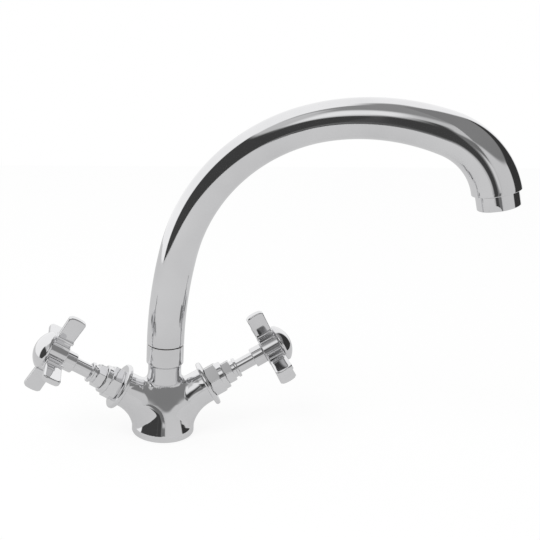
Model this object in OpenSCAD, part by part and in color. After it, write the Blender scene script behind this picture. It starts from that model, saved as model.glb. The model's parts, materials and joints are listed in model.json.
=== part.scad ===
// Two-handle kitchen tap with a swan-neck swivel spout and cross handles.
// Millimetres, +Z up. The origin is the middle of the base on the deck, the handles lie along X,
// and the user stands on the -Y side.

/* [Base and body] */
// Radius of the round base
base_r = 23.7; // [22:0.1:27]
// Rounding of the base's lower edge
base_edge = 2; // [1:0.1:3]
// Height of the base's upright side, where the underside of the arms begins to curve out
base_side = 1.5; // [1:0.1:4]
// Height at which the two arm axes cross the tap's axis
arm_z = 18.7; // [17.5:0.1:22]
// Tilt of each arm above the deck, degrees
arm_tilt = 29.8; // [25:0.1:34]
// Outer radius of each arm at its end
arm_r = 13.4; // [12.8:0.1:14.5]
// Straight length at the end of each arm, past its curve
arm_land = 3; // [1:0.1:6]
// Radius of the body's waist, above its foot
bell_low_r = 14.4; // [14:0.1:20]
// Height of that waist
bell_low_z = 19; // [17:0.5:22]
// Height at which the bell runs into the neck
bell_top_z = 44; // [42:0.5:47]
// Outer radius of the neck under the collar
neck_r = 12.5; // [12.3:0.1:13.2]
// Distance of the flats between the arms, front and back, from the tap's middle at their lower edge
flat_y = 13.3; // [12.8:0.1:14]
// Lean of those flats towards the neck, degrees
flat_lean = 6; // [2:0.5:8]
// Height at which those flats end
flat_top_z = 43; // [38:0.5:46]
// Radius of the fillet between neck and arms
neck_fillet = 5.2; // [3:0.1:7]

/* [Collar and spout bearing] */
// Height of the collar's lower edge
collar_z = 56; // [54:0.5:60]
// Length of the collar
collar_l = 16.3; // [15:0.1:20]
// Chamfer at the collar's lower edge
collar_chamfer = 1.5; // [0.4:0.1:1.5]
// Radius of the thread that joins collar and neck
collar_thread_r = 11.6; // [11.4:0.05:12]
// Thickness of the collar's inward lip, which holds the spout down
collar_lip_t = 2.7; // [2:0.1:4]
// Radius of the bore that the spout's spigot turns in
neck_bore_r = 9; // [8.5:0.1:9.4]
// Length of the spigot below its flange
spigot_l = 25; // [18:0.5:27]
// Thickness of the spigot's flange
spigot_flange_t = 2.4; // [1.5:0.1:3]
// Bore of the spigot
spigot_bore_r = 6.6; // [5:0.1:7]
// Length of the spigot's plug inside the spout tube
plug_l = 12; // [8:0.5:14]
// Thickness of the slip washer under the flange
slip_washer_t = 1; // [0.6:0.1:1.5]

/* [Spout] */
// Turn of the spout from +X towards the user, degrees
spout_turn = -22; // [-60:1:60]
// Outer radius of the spout tube
tube_r = 14; // [13.5:0.1:15]
// Outer radius of the spout at its outlet
outlet_r = 17.8; // [17:0.1:20]
// Share of the spout's length at which it begins to widen
flare_from = 0.58; // [0.3:0.01:0.8]
// Wall of the spout tube
tube_wall = 1.6; // [1:0.1:1.8]
// Radius of the first, nearly straight bend
rise_r = 350; // [250:5:450]
// Turn of the first bend, degrees
rise_angle = 12; // [8:0.5:16]
// Radius of the main arch
arch_r = 139; // [110:1:160]
// Turn of the main arch, degrees
arch_angle = 63.5; // [55:0.5:70]
// Radius of the flatter bend over the top
crown_r = 165; // [140:1:190]
// Turn of that bend, degrees
crown_angle = 30.5; // [25:0.5:36]
// Radius of the tight bend at the outlet
tip_r = 52; // [44:0.5:60]
// Turn of that bend, degrees
tip_angle = 60; // [50:0.5:66]

/* [Outlet] */
// Length of the threaded ring brazed into the outlet
outlet_ring_l = 7; // [6:0.5:8]
// Radius of the outlet's female thread
outlet_thread_r = 13.9; // [13.5:0.05:14.2]
// Outer radius of the aerator housing below the spout
aerator_r = 15.4; // [14.8:0.1:16]
// Length of the aerator housing below the spout
aerator_l = 10.7; // [8:0.1:14]
// Wall of the aerator housing inside the thread
aerator_wall = 1.3; // [1:0.1:2]
// Radius of the two key flats at the aerator housing's end
key_r = 4.6; // [3:0.1:5]
// Depth of each key flat
key_depth = 0.9; // [0.5:0.1:1]
// Turn of the key flats about the outlet, degrees
key_turn = 10; // [-45:1:45]
// Radius of one hole in the outlet grid
grid_hole_r = 1.1; // [0.6:0.05:1.2]
// Rings of holes in the outlet grid around the middle hole
grid_rings = 3; // [1:1:3]

/* [Valves] */
// Radius of the trim ring at the end of each arm
ring_r = 17.8; // [16:0.1:20]
// Thickness of the trim ring
ring_t = 3.6; // [2.5:0.1:5]
// Radius of the valve's thread in the arm
valve_thread_r = 10.2; // [10:0.05:10.5]
// Depth of the valve's bore in the arm
valve_bore_l = 17; // [16:0.1:18]
// Length of the valve's barrel in the arm
barrel_l = 14.7; // [14:0.1:15.5]
// Width across flats of the valve's large hexagon
hex_af = 22.6; // [20.5:0.1:24]
// Length of the large hexagon
hex_l = 9.2; // [8:0.1:11]
// Radius of the round shoulder above it
shoulder_r = 10.8; // [10:0.1:11.2]
// Length of that shoulder
shoulder_l = 4; // [3.5:0.1:6]
// Width across flats of the gland nut
gland_af = 16.4; // [15:0.1:18]
// Length of the gland nut's hexagon
gland_l = 6.5; // [5:0.1:8]
// Radius of the gland nut's neck
gland_neck_r = 6.7; // [6.2:0.1:7]
// Length of that neck
gland_neck_l = 2.4; // [1.5:0.1:4]
// Radius of the small flange at the gland nut's end
gland_flange_r = 7.8; // [7.2:0.1:9]
// Thickness of the small flange
gland_flange_t = 2.4; // [1.5:0.1:3]
// Turn of the left valve's hexagons, degrees
left_hex_turn = 0; // [-30:1:30]
// Turn of the right valve's hexagons, degrees
right_hex_turn = 10; // [-30:1:30]
// Radius of the ceramic discs
disc_r = 8.3; // [7.8:0.1:8.4]
// Thickness of each ceramic disc
disc_t = 3; // [2.6:0.1:3.2]
// Turn of each valve from shut to open, degrees
valve_turn = 90; // [90:5:120]

/* [Handles] */
// Radius of the spindle
stem_r = 5.3; // [5:0.05:5.5]
// Length of the spindle seen between valve and ferrule
stem_seen = 13.5; // [8:0.1:20]
// Radius of the ferrule under the handle
ferrule_r = 7.6; // [7:0.1:9]
// Length of the ferrule
ferrule_l = 9.2; // [7:0.1:12]
// Radius of the handle's round hub
hub_r = 11.5; // [10.5:0.1:12.5]
// Length of the hub
hub_l = 14; // [13.5:0.1:18]
// Radius from the handle's axis to the ends of its arms
reach_r = 35.8; // [32:0.2:44]
// Radius at which the block at the root of each arm ends
root_block_r = 12.6; // [11.8:0.1:14]
// Length of the groove between the root block and its band
root_groove_l = 2.4; // [1:0.1:3]
// Length of the band, from the groove to where the paddle's face begins
root_band_l = 2.4; // [1:0.1:3]
// Width of the root block along the handle's axis
root_w = 13.4; // [11:0.1:13.8]
// Thickness of the root block
root_t = 10.4; // [7:0.1:11]
// Width of each paddle where it leaves its root
paddle_root_w = 12.6; // [10:0.1:13]
// Width of each paddle at its end
paddle_tip_w = 13.6; // [12:0.1:17]
// Thickness of each paddle
paddle_t = 5.2; // [4:0.1:7]
// Radius of the rounded end of each paddle
paddle_end_r = 21; // [14:0.5:30]
// Outer radius of the dome cap
cap_r = 14.3; // [13:0.1:16]
// Height of the dome cap
cap_h = 8.8; // [8:0.1:13]
// Wall of the dome cap
cap_wall = 1.4; // [1:0.1:2]
// Turn of the left handle at rest, degrees
left_rest = -14; // [-45:0.5:45]
// Turn of the right handle at rest, degrees
right_rest = 11; // [-45:0.1:45]

/* [Supply and fixing] */
// Radius of the tapping hole of each M10 x 1 inlet
inlet_r = 4.55; // [4.4:0.05:4.8]
// Depth of each inlet's thread
inlet_l = 13; // [10:0.5:14]
// Distance of each inlet from the tap's middle, along X
inlet_x = 9.5; // [8.5:0.1:10.5]
// Distance of the inlets behind the tap's middle
inlet_y = -2; // [-3:0.1:0]
// Radius of the waterways drilled in the body
waterway_r = 2.8; // [2:0.1:3.2]
// Radius of the tapping hole of the M8 fixing stud
stud_r = 3.4; // [3.3:0.05:3.5]
// Depth of the stud's hole
stud_l = 16; // [12:0.5:18]
// Distance of the stud behind the tap's middle
stud_y = 11; // [10:0.1:12]
// Radius of the deck seal's middle line
deck_seal_r = 18.6; // [18:0.1:19]
// Radius of the deck seal's cord
deck_seal_cord = 1.2; // [1:0.05:1.4]

/* [Fits] */
// Radial gap of each thread and running fit
fit = 0.05; // [0.03:0.01:0.08]
// Gap between faces that slide on each other
face_gap = 0.05; // [0.03:0.01:0.1]
// Gap between the collar and the turning spout
swivel_gap = 0.3; // [0.2:0.05:0.5]
// Radius of a spindle seal's cord
seal_cord = 0.75; // [0.6:0.05:0.85]
// Radius of the cord of the spigot's seals
spigot_seal_cord = 0.75; // [0.6:0.05:0.85]
// Gap between a seal and its groove's floor
groove_gap = 0.02; // [0.01:0.01:0.05]

/* [Hidden] */
LEFT = -1;
RIGHT = 1;
$fn = 96;
// Small overlap that keeps cuts clean
eps = 0.1;
chrome = "silver";
brass = "goldenrod";
rubber = "dimgray";
ceramic = "white";
plastic = "whitesmoke";

// Arms: the underside is one arc, tangent to the base's side and to the arm. Each elbow starts a
// little inside what it grows from.
root_inset = 0.4;
root_r = base_r - root_inset;
under_r = (root_r * sin(arm_tilt) + (arm_z - base_side) * cos(arm_tilt) - arm_r)
  / (1 - sin(arm_tilt));
under_x = root_r + under_r;
curve_end = under_x * cos(arm_tilt) + (base_side - arm_z) * sin(arm_tilt);
arm_l = curve_end + arm_land;
// The saddle's arc is tangent to the neck and runs just above the arm
saddle_rise = 1.3;
saddle_pipe_r = neck_r - root_inset;
saddle_x = saddle_pipe_r + neck_fillet;
saddle_z = arm_z + saddle_x * tan(arm_tilt) + (arm_r + saddle_rise + neck_fillet) / cos(arm_tilt);

// Valve: distances along the arm's axis from where the axes cross
bore_floor = arm_l - valve_bore_l;
barrel_end = arm_l - barrel_l;
seal_top = barrel_end + 1.9;
fixed_top = seal_top + disc_t;
moving_floor = fixed_top + face_gap;
moving_top = moving_floor + disc_t;
chamber_top = moving_top + face_gap;
tongue_w = 4;
tongue_l = 1.6;
ring_top = arm_l + ring_t;
hex_top = ring_top + hex_l;
headwork_top = hex_top + shoulder_l;
gland_hex_top = headwork_top + gland_l;
gland_neck_top = gland_hex_top + gland_neck_l;
gland_top = gland_neck_top + gland_flange_t;
ferrule_floor = gland_top + stem_seen;
hub_floor = ferrule_floor + ferrule_l;
hub_top = hub_floor + hub_l;
hub_mid = (hub_floor + hub_top) / 2;

// Spindle stop: a lug on the spindle turns between two walls in the headwork
stop_r = 7;
lug_angle = 40;
stop_shut = 100;
stop_slack = 2;
stop_floor = hex_top - 6;
stop_mid = stop_floor + 2.3;
gland_floor = stop_mid + 2.2;
gland_thread_r = stop_r + 0.9;
seal_grooves = [chamber_top + 3.6, chamber_top + 8];
spline_r = 4;
spline_flat = 3.3;
spline_top = hub_top - 4;
screw_r = 2.5;
screw_head_r = 4.6;
screw_head_t = 2.4;
screw_l = 9;
cap_spigot_r = 8.4;

// Spout bearing: heights on the tap's axis
collar_top = collar_z + collar_l;
spout_z = collar_top + swivel_gap;
lip_floor = collar_top - collar_lip_t;
flange_top = lip_floor - face_gap;
flange_floor = flange_top - spigot_flange_t;
neck_top = flange_floor - face_gap - slip_washer_t;
spigot_end = flange_floor - spigot_l;
bore_end = spigot_end - 8;
spigot_r = neck_bore_r - fit;
flange_r = collar_thread_r - 0.1;
lip_r = flange_r - 0.9;
plug_r = tube_r - tube_wall + 0.5;
gallery_z = bore_end + waterway_r + 1;
// The gallery ends inside the valve's bore, just above its floor
gallery_x = (bore_floor + waterway_r + 0.3 - (gallery_z - arm_z) * sin(arm_tilt)) / cos(arm_tilt);

// Spout: tangent bends, each a radius and a turn, followed in one upright plane
bends = [[rise_r, rise_angle], [arch_r, arch_angle], [crown_r, crown_angle], [tip_r, tip_angle]];
ring_step = 3.6;
tube_sides = 36;
bore_sides = 24;

// Heading in degrees above the horizontal at the start of bend i
function heading(i) = i == 0 ? 90 : heading(i - 1) - bends[i - 1][1];
// Unit vector to the right of a heading
function right_of(h) = [sin(h), -cos(h)];
// Point in the spout's plane, a degrees into bend i
function bend_point(i, a) =
  bend_start(i) + bends[i][0] * (right_of(heading(i)) - right_of(heading(i) - a));
function bend_start(i) = i == 0 ? [0, spout_z] : bend_point(i - 1, bends[i - 1][1]);
// Length of the spout's middle line up to a degrees into bend i
function run(i, a) = bends[i][0] * a * PI / 180 + (i == 0 ? 0 : run(i - 1, bends[i - 1][1]));
spout_l = run(len(bends) - 1, tip_angle);
spout_end = bend_point(len(bends) - 1, tip_angle);
end_heading = heading(len(bends) - 1) - tip_angle;
// Outer radius of the spout at length s
function spout_r(s) = tube_r
  + (outlet_r - tube_r) * pow(max(0, (s / spout_l - flare_from) / (1 - flare_from)), 1.5);
// Stations of the spout: [x, z, heading, radius], the last one shared by no other bend
function spout_stations(cut) = [
  for (i = [0 : len(bends) - 1], k = [0 : ceil(bends[i][1] / ring_step)])
    let (n = ceil(bends[i][1] / ring_step), a = bends[i][1] * k / n, p = bend_point(i, a))
      if (k < n || i == len(bends) - 1) [p[0], p[1], heading(i) - a, spout_r(run(i, a)) - cut]
];
// Stations of the spout's bore, run on past the outlet so that it cuts clean
function bore_stations() = concat(spout_stations(tube_wall), [[
  spout_end[0] + eps * cos(end_heading), spout_end[1] + eps * sin(end_heading), end_heading,
  outlet_r - tube_wall]]);
// A solid swept through stations in the XZ plane, with a round section at each
module sweep(stations, sides) {
  rings = len(stations);
  points = [
    for (s = stations, j = [0 : sides - 1])
      let (a = 360 * j / sides)
        [s[0] - s[3] * cos(a) * sin(s[2]), s[3] * sin(a), s[1] + s[3] * cos(a) * cos(s[2])]
  ];
  walls = [
    for (k = [0 : rings - 2], j = [0 : sides - 1])
      let (m = (j + 1) % sides, low = k * sides, high = low + sides)
        each [[low + j, low + m, high + m], [low + j, high + m, high + j]]
  ];
  floor_cap = [for (j = [sides - 1 : -1 : 0]) j];
  top_cap = [for (j = [0 : sides - 1]) (rings - 1) * sides + j];
  polyhedron(points, concat([floor_cap], walls, [top_cap]), convexity = 8);
}

// Puts its children on an arm: their +Z runs outwards along the arm's axis
module on_arm(side) {
  translate([0, 0, arm_z]) rotate([0, side * (90 - arm_tilt), 0]) children();
}

// Puts its children on an arm with the handle's turn at rest
module on_handle(side) {
  on_arm(side) rotate([0, 0, side == LEFT ? left_rest : right_rest]) children();
}

// Puts its children in the spout's turned plane
module on_spout() {
  rotate([0, 0, spout_turn]) children();
}

// Puts its children at the outlet: their +Z runs out of it
module on_outlet() {
  on_spout() translate([spout_end[0], 0, spout_end[1]]) rotate([0, 90 - end_heading, 0]) children();
}

// A cylinder between two points
module rod(from, to, r) {
  d = to - from;
  translate(from) rotate([0, acos(d[2] / norm(d)), atan2(d[1], d[0])]) cylinder(r = r, h = norm(d));
}

// A ring with a round section
module cord_ring(r, cord) {
  rotate_extrude() translate([r, 0]) circle(r = cord, $fn = 32);
}

// A tube or washer standing on Z
module tube(outer, inner, from, to) {
  translate([0, 0, from]) difference() {
    cylinder(r = outer, h = to - from);
    translate([0, 0, -eps]) cylinder(r = inner, h = to - from + 2 * eps);
  }
}

// A disc with a rounded or chamfered rim, bored through
module trim_disc(r, inner, from, to, soft) {
  translate([0, 0, from]) rotate_extrude() difference() {
    union() {
      translate([inner, 0]) square([r - soft - inner, to - from]);
      translate([inner, soft]) square([r - inner, to - from - 2 * soft]);
      for (z = [soft, to - from - soft]) translate([r - soft, z]) circle(r = soft, $fn = 48);
    }
    translate([-r, -eps]) square([r + inner, to - from + 2 * eps]);
  }
}

// A hexagon whose corners are turned off at the outer end
module hexagon(af, from, to, chamfer) {
  corner = af / sqrt(3);
  intersection() {
    translate([0, 0, from]) cylinder(r = corner, h = to - from, $fn = 6);
    translate([0, 0, from]) rotate_extrude()
      polygon([[0, 0], [corner + eps, 0], [corner + eps, to - from - chamfer],
        [corner - 1.7 * chamfer, to - from], [0, to - from]]);
  }
}

// A slice of a ring that turns from one angle to another
module ring_slice(r, from_angle, turn, from, to) {
  translate([0, 0, from]) rotate([0, 0, from_angle])
    rotate_extrude(angle = turn) square([r, to - from]);
}

// The spindle's driving section, with two flats
module spline(r, half, from, to) {
  intersection() {
    translate([0, 0, from]) cylinder(r = r, h = to - from);
    translate([-half, -2 * r, from]) cube([2 * half, 4 * r, to - from]);
  }
}

// A bent pipe in the XZ plane: it hugs an arc of radius inner from one ray of that arc to another
module elbow(centre, inner, r, from, to) {
  translate([centre[0], 0, centre[1]]) rotate([90, 0, 0]) rotate([0, 0, from])
    rotate_extrude(angle = to - from) translate([inner + r, 0]) circle(r = r);
}

module arm_solid() {
  elbow([under_x, base_side], under_r, arm_r, 90 + arm_tilt, 180);
  on_arm(RIGHT) translate([0, 0, curve_end - 1.5]) cylinder(r = arm_r + 0.1, h = arm_land + 1.5);
}

module saddle_solid() {
  elbow([saddle_x, saddle_z], neck_fillet, saddle_pipe_r, 180, 270 + arm_tilt);
}

// Foot, waist and neck, with the saddles over the arms and the two flats between the arms
module trunk_solid() {
  difference() {
    union() {
      rotate_extrude() {
        polygon([[0, 0], [base_r - base_edge, 0], [base_r, base_edge], [base_r, base_side + 4],
          [bell_low_r, bell_low_z], [neck_r, bell_top_z], [neck_r, collar_z], [0, collar_z]]);
        translate([base_r - base_edge, base_edge]) circle(r = base_edge);
      }
      saddle_solid();
      mirror([1, 0, 0]) saddle_solid();
    }
    for (turn = [0, 180]) rotate([0, 0, turn]) translate([0, -flat_y, bell_low_z + 1])
      rotate([-flat_lean, 0, 0]) translate([-2 * base_r, -base_r, 0])
        cube([4 * base_r, base_r, flat_top_z - bell_low_z - 1]);
  }
}

module body_casting() {
  color(chrome) difference() {
    union() {
      trunk_solid();
      arm_solid();
      mirror([1, 0, 0]) arm_solid();
      translate([0, 0, collar_z - 1]) cylinder(r = collar_thread_r, h = neck_top - collar_z + 1);
    }
    translate([0, 0, bore_end]) cylinder(r = neck_bore_r, h = neck_top - bore_end + eps);
    translate([0, 0, -base_r]) cube([3 * base_r, 3 * base_r, 2 * base_r], center = true);
    for (side = [LEFT, RIGHT]) {
      on_arm(side) translate([0, 0, bore_floor]) cylinder(r = valve_thread_r, h = valve_bore_l + eps);
      translate([side * inlet_x, inlet_y, -eps]) cylinder(r = inlet_r, h = inlet_l + eps);
      rod([side * inlet_x, inlet_y, inlet_l - waterway_r],
        [side * (bore_floor + 1) * cos(arm_tilt), 0, arm_z + (bore_floor + 1) * sin(arm_tilt)],
        waterway_r);
      rod([0, 0, gallery_z], [side * gallery_x, 0, gallery_z], waterway_r);
    }
    translate([0, stud_y, -eps]) cylinder(r = stud_r, h = stud_l + eps);
    rotate_extrude() translate([deck_seal_r - deck_seal_cord - fit, -eps])
      square([2 * (deck_seal_cord + fit), 2 * deck_seal_cord + eps]);
  }
}

module deck_seal() {
  color(rubber) translate([0, 0, deck_seal_cord]) cord_ring(deck_seal_r, deck_seal_cord);
}

module swivel_collar() {
  color(chrome) rotate_extrude()
    polygon([[collar_thread_r + fit, collar_z], [tube_r - collar_chamfer, collar_z],
      [tube_r, collar_z + collar_chamfer], [tube_r, collar_top], [lip_r, collar_top],
      [lip_r, lip_floor], [collar_thread_r + fit, lip_floor]]);
}

module slip_washer() {
  color(plastic) tube(flange_r, neck_bore_r + fit, neck_top, neck_top + slip_washer_t);
}

module spout_spigot() {
  color(brass) difference() {
    union() {
      translate([0, 0, spigot_end]) cylinder(r = spigot_r, h = flange_floor - spigot_end);
      translate([0, 0, flange_floor]) cylinder(r = flange_r, h = spigot_flange_t);
      translate([0, 0, flange_floor]) cylinder(r = lip_r - 0.15, h = spout_z - flange_floor);
      translate([0, 0, spout_z]) cylinder(r = plug_r - fit, h = plug_l);
    }
    translate([0, 0, spigot_end - eps])
      cylinder(r = spigot_bore_r, h = spout_z + plug_l - spigot_end + 2 * eps);
    for (z = spout_seal_z())
      tube(neck_bore_r + 1, spigot_r - 2 * spigot_seal_cord - groove_gap, z - 1.2, z + 1.2);
  }
}

// Heights of the two seals on the spigot
function spout_seal_z() = [spigot_end + 5, flange_floor - 6];

module spout_seals() {
  color(rubber) for (z = spout_seal_z())
    translate([0, 0, z]) cord_ring(spigot_r - spigot_seal_cord, spigot_seal_cord);
}

module spout_tube() {
  color(chrome) difference() {
    on_spout() difference() {
      sweep(spout_stations(0), tube_sides);
      sweep(bore_stations(), bore_sides);
    }
    translate([0, 0, spout_z - eps]) cylinder(r = plug_r, h = plug_l + eps);
  }
}

module outlet_ring() {
  color(brass) on_outlet() difference() {
    union() {
      translate([0, 0, -outlet_ring_l]) cylinder(r = outlet_thread_r + 1.4, h = outlet_ring_l);
      translate([0, 0, -1.2]) cylinder(r = outlet_r - tube_wall - 0.3, h = 1.2);
    }
    translate([0, 0, -outlet_ring_l - eps]) cylinder(r = outlet_thread_r - 2.4, h = outlet_ring_l);
    translate([0, 0, 1.4 - outlet_ring_l]) cylinder(r = outlet_thread_r, h = outlet_ring_l);
  }
}

// Distances out of the outlet of the aerator's pieces
gasket_floor = 1.4 - outlet_ring_l;
gasket_t = 1.5;
housing_floor = gasket_floor + gasket_t;
housing_bore_r = outlet_thread_r - fit - aerator_wall;
grid_t = 1.2;
lip_t = 1;

module aerator_housing() {
  color(chrome) on_outlet() difference() {
    union() {
      translate([0, 0, housing_floor]) cylinder(r = outlet_thread_r - fit, h = -housing_floor + 0.2);
      trim_disc(aerator_r, 2, 0.2, 0.2 + aerator_l, 0.8);
    }
    translate([0, 0, housing_floor - eps])
      cylinder(r = housing_bore_r, h = aerator_l - housing_floor - lip_t + eps + 0.2);
    translate([0, 0, -1]) cylinder(r = housing_bore_r - 1.2, h = aerator_l + 2);
    for (a = [90, 270]) rotate([0, 0, a + key_turn])
      translate([aerator_r - key_depth, 0, aerator_l + 0.2]) rotate([0, 90, 0]) cylinder(r = key_r, h = 3);
  }
}

module aerator_gasket() {
  color(rubber) on_outlet()
    tube(outlet_thread_r - 0.2, housing_bore_r - 1.5, gasket_floor, housing_floor - 0.02);
}

module aerator_insert() {
  inner_top = aerator_l + 0.2 - lip_t - grid_t - 2 * face_gap;
  color(plastic) on_outlet() difference() {
    translate([0, 0, housing_floor + 1])
      cylinder(r = housing_bore_r - fit, h = inner_top - housing_floor - 1);
    for (k = [0 : 5]) rotate([0, 0, 60 * k]) translate([housing_bore_r / 2, 0, housing_floor])
      cylinder(r = 2, h = inner_top - housing_floor + 1, $fn = 32);
    translate([0, 0, inner_top - 2.5]) cylinder(r = housing_bore_r - 1.4, h = 3);
  }
}

module outlet_grid() {
  floor_z = aerator_l + 0.2 - lip_t - grid_t - face_gap;
  pitch = (housing_bore_r - 2.6) / grid_rings;
  color(plastic) on_outlet() difference() {
    translate([0, 0, floor_z]) cylinder(r = housing_bore_r - fit, h = grid_t);
    for (ring = [0 : grid_rings]) for (k = [0 : max(1, 6 * ring) - 1])
      rotate([0, 0, 360 * k / max(1, 6 * ring)]) translate([ring * pitch, 0, floor_z - eps])
        cylinder(r = grid_hole_r, h = grid_t + 2 * eps, $fn = 24);
  }
}

module valve_ring(side) {
  color(chrome) on_arm(side)
    trim_disc(ring_r, valve_thread_r + fit, arm_l, ring_top, min(1.5, ring_t / 2 - 0.1));
}

module headwork(side) {
  thread = valve_thread_r - fit;
  nose_r = disc_r + 1.1;
  color(chrome) on_arm(side) difference() {
    union() {
      translate([0, 0, chamber_top + 1]) cylinder(r = thread, h = ring_top - chamber_top);
      translate([0, 0, barrel_end]) cylinder(r = nose_r, h = chamber_top + 2 - barrel_end);
      rotate([0, 0, hex_turn(side)]) hexagon(hex_af, ring_top, hex_top, 0.9);
      trim_disc(shoulder_r, 2, hex_top - 1, headwork_top, 0.8);
    }
    translate([0, 0, barrel_end - eps]) cylinder(r = disc_r + fit, h = chamber_top - barrel_end + eps);
    translate([0, 0, barrel_end]) cylinder(r = stem_r + fit, h = headwork_top);
    ring_slice(stop_r, stop_start(), valve_turn + lug_angle + 2 * stop_slack, stop_floor, gland_floor);
    translate([0, 0, stop_mid]) cylinder(r = stop_r, h = headwork_top);
    translate([0, 0, gland_floor]) cylinder(r = gland_thread_r, h = headwork_top);
    for (a = [0, 180]) rotate([0, 0, a + 90])
      translate([-3, 0, moving_floor - 1]) cube([6, nose_r + 1, disc_t]);
  }
}

// Turn of a side's hexagons
function hex_turn(side) = side == LEFT ? left_hex_turn : right_hex_turn;

// Angle at which the stop's slot starts in the headwork: the lug rests at the shut end
function stop_start() = stop_shut - lug_angle / 2 - stop_slack;

module gland_nut(side) {
  color(chrome) on_arm(side) difference() {
    union() {
      translate([0, 0, gland_floor]) cylinder(r = gland_thread_r - fit, h = headwork_top - gland_floor + 1);
      rotate([0, 0, hex_turn(side)]) hexagon(gland_af, headwork_top, gland_hex_top, 0.7);
      translate([0, 0, gland_hex_top - 1]) cylinder(r = gland_neck_r, h = gland_neck_l + 1);
      trim_disc(gland_flange_r, 2, gland_neck_top, gland_top, 0.8);
    }
    translate([0, 0, gland_floor - eps]) cylinder(r = stem_r + fit, h = gland_top);
  }
}

module spindle(side) {
  color(chrome) on_arm(side) difference() {
    union() {
      translate([-tongue_w / 2, -stem_r + 0.6, chamber_top - tongue_l])
        cube([tongue_w, 2 * stem_r - 1.2, tongue_l + 1]);
      translate([0, 0, chamber_top]) cylinder(r = stem_r, h = hub_floor - chamber_top);
      ring_slice(stop_r - 0.1, lug_start(side), lug_angle, stop_floor + face_gap, stop_mid + 0.5);
      translate([0, 0, stop_mid + face_gap])
        cylinder(r = stop_r - 0.1, h = gland_floor - stop_mid - 2 * face_gap);
      spline(spline_r, spline_flat, hub_floor - 1, spline_top);
    }
    for (l = seal_grooves) tube(stem_r + 1, stem_r - 2 * seal_cord - groove_gap, l - 1.1, l + 1.1);
    translate([0, 0, spline_top - screw_l - 1]) cylinder(r = screw_r, h = screw_l + 2);
  }
}

// Angle at which the lug starts at rest: the left valve opens one way and the right one the other
function lug_start(side) = stop_shut - lug_angle / 2 + (side == LEFT ? 0 : valve_turn);

module spindle_seals(side) {
  color(rubber) on_arm(side)
    for (l = seal_grooves) translate([0, 0, l]) cord_ring(stem_r - seal_cord, seal_cord);
}

// One ceramic disc, with two windows for the water
module ceramic_disc(from, to) {
  difference() {
    translate([0, 0, from]) cylinder(r = disc_r - fit, h = to - from);
    for (a = [0, 180]) rotate([0, 0, a]) difference() {
      ring_slice(disc_r - 1.6, 50, 80, from - eps, to + eps);
      translate([0, 0, from - 1]) cylinder(r = 2.8, h = to - from + 2);
    }
  }
}

module moving_disc(side) {
  color(ceramic) on_arm(side) difference() {
    rotate([0, 0, 90]) ceramic_disc(moving_floor, moving_top);
    translate([-tongue_w / 2 - fit, -stem_r, moving_top - tongue_l - face_gap])
      cube([tongue_w + 2 * fit, 2 * stem_r, tongue_l + 1]);
  }
}

module fixed_disc(side) {
  color(ceramic) on_arm(side) ceramic_disc(seal_top, fixed_top);
}

module seat_seal(side) {
  color(rubber) on_arm(side) tube(disc_r - 0.2, disc_r - 3, bore_floor, seal_top);
}

module ferrule(side) {
  color(chrome) on_arm(side) trim_disc(ferrule_r, stem_r + fit, ferrule_floor, hub_floor, 0.7);
}

// A paddle's outline: a flared bar whose end is an arc
module paddle_outline() {
  intersection() {
    polygon([[root_block_r - 2, -paddle_root_w / 2], [reach_r, -paddle_tip_w / 2],
      [reach_r, paddle_tip_w / 2], [root_block_r - 2, paddle_root_w / 2]]);
    translate([reach_r - paddle_end_r, 0]) circle(r = paddle_end_r);
  }
}

// A bar along +X, centred on the handle's middle plane
module root_bar(to, w, t) {
  translate([0, -t / 2, hub_mid - w / 2]) cube([to, t, w]);
}

// One arm of the cross handle along +X: a root block, a groove, a band and a paddle
module handle_arm() {
  band_floor = root_block_r + root_groove_l;
  root_bar(root_block_r, root_w, root_t);
  root_bar(band_floor + eps, root_w - 2.4, paddle_t + 1);
  intersection() {
    root_bar(band_floor + root_band_l, root_w, root_t - 2.2);
    translate([band_floor, -root_t, hub_mid - root_w]) cube([root_band_l + eps, 2 * root_t, 2 * root_w]);
  }
  translate([0, paddle_t / 2, hub_mid]) rotate([90, 0, 0]) linear_extrude(paddle_t) paddle_outline();
}

module cross_handle(side) {
  recess_floor = spline_top + 0.4;
  color(chrome) on_handle(side) difference() {
    union() {
      trim_disc(hub_r, 2, hub_floor, hub_top, 0.8);
      for (k = [0 : 3]) rotate([0, 0, 90 * k]) handle_arm();
      translate([0, 0, hub_floor]) cylinder(r = hub_r - 1, h = hub_l - 1);
    }
    rotate([0, 0, side == LEFT ? -left_rest : -right_rest])
      spline(spline_r + fit, spline_flat + fit, hub_floor - eps, recess_floor + eps);
    translate([0, 0, recess_floor]) cylinder(r = cap_spigot_r + fit, h = hub_top);
  }
}

module handle_screw(side) {
  color(brass) on_arm(side) {
    translate([0, 0, spline_top + 0.4]) difference() {
      cylinder(r = screw_head_r, h = screw_head_t);
      translate([0, 0, 1]) cylinder(r = 1.7, h = screw_head_t, $fn = 6);
    }
    translate([0, 0, spline_top - screw_l]) cylinder(r = screw_r - fit, h = screw_l + 0.5);
  }
}

// The dome cap's section: a flattened dome on a short straight rim
module cap_section(r, h) {
  rim = 2;
  square([r, rim]);
  translate([0, rim]) intersection() {
    translate([0, (h - rim) - dome_r(r, h - rim)]) circle(r = dome_r(r, h - rim));
    square([r, h]);
  }
}

// Radius of the ball whose cap has radius r and height h
function dome_r(r, h) = (r * r + h * h) / (2 * h);

module dome_cap(side) {
  color(chrome) on_handle(side) translate([0, 0, hub_top]) {
    rotate_extrude() difference() {
      cap_section(cap_r, cap_h);
      translate([0, -eps]) cap_section(cap_r - cap_wall, cap_h - cap_wall);
    }
    translate([0, 0, -2.8]) difference() {
      cylinder(r = cap_spigot_r, h = cap_h);
      translate([0, 0, -eps]) cylinder(r = cap_spigot_r - 1.6, h = cap_h + 1);
    }
  }
}

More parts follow.
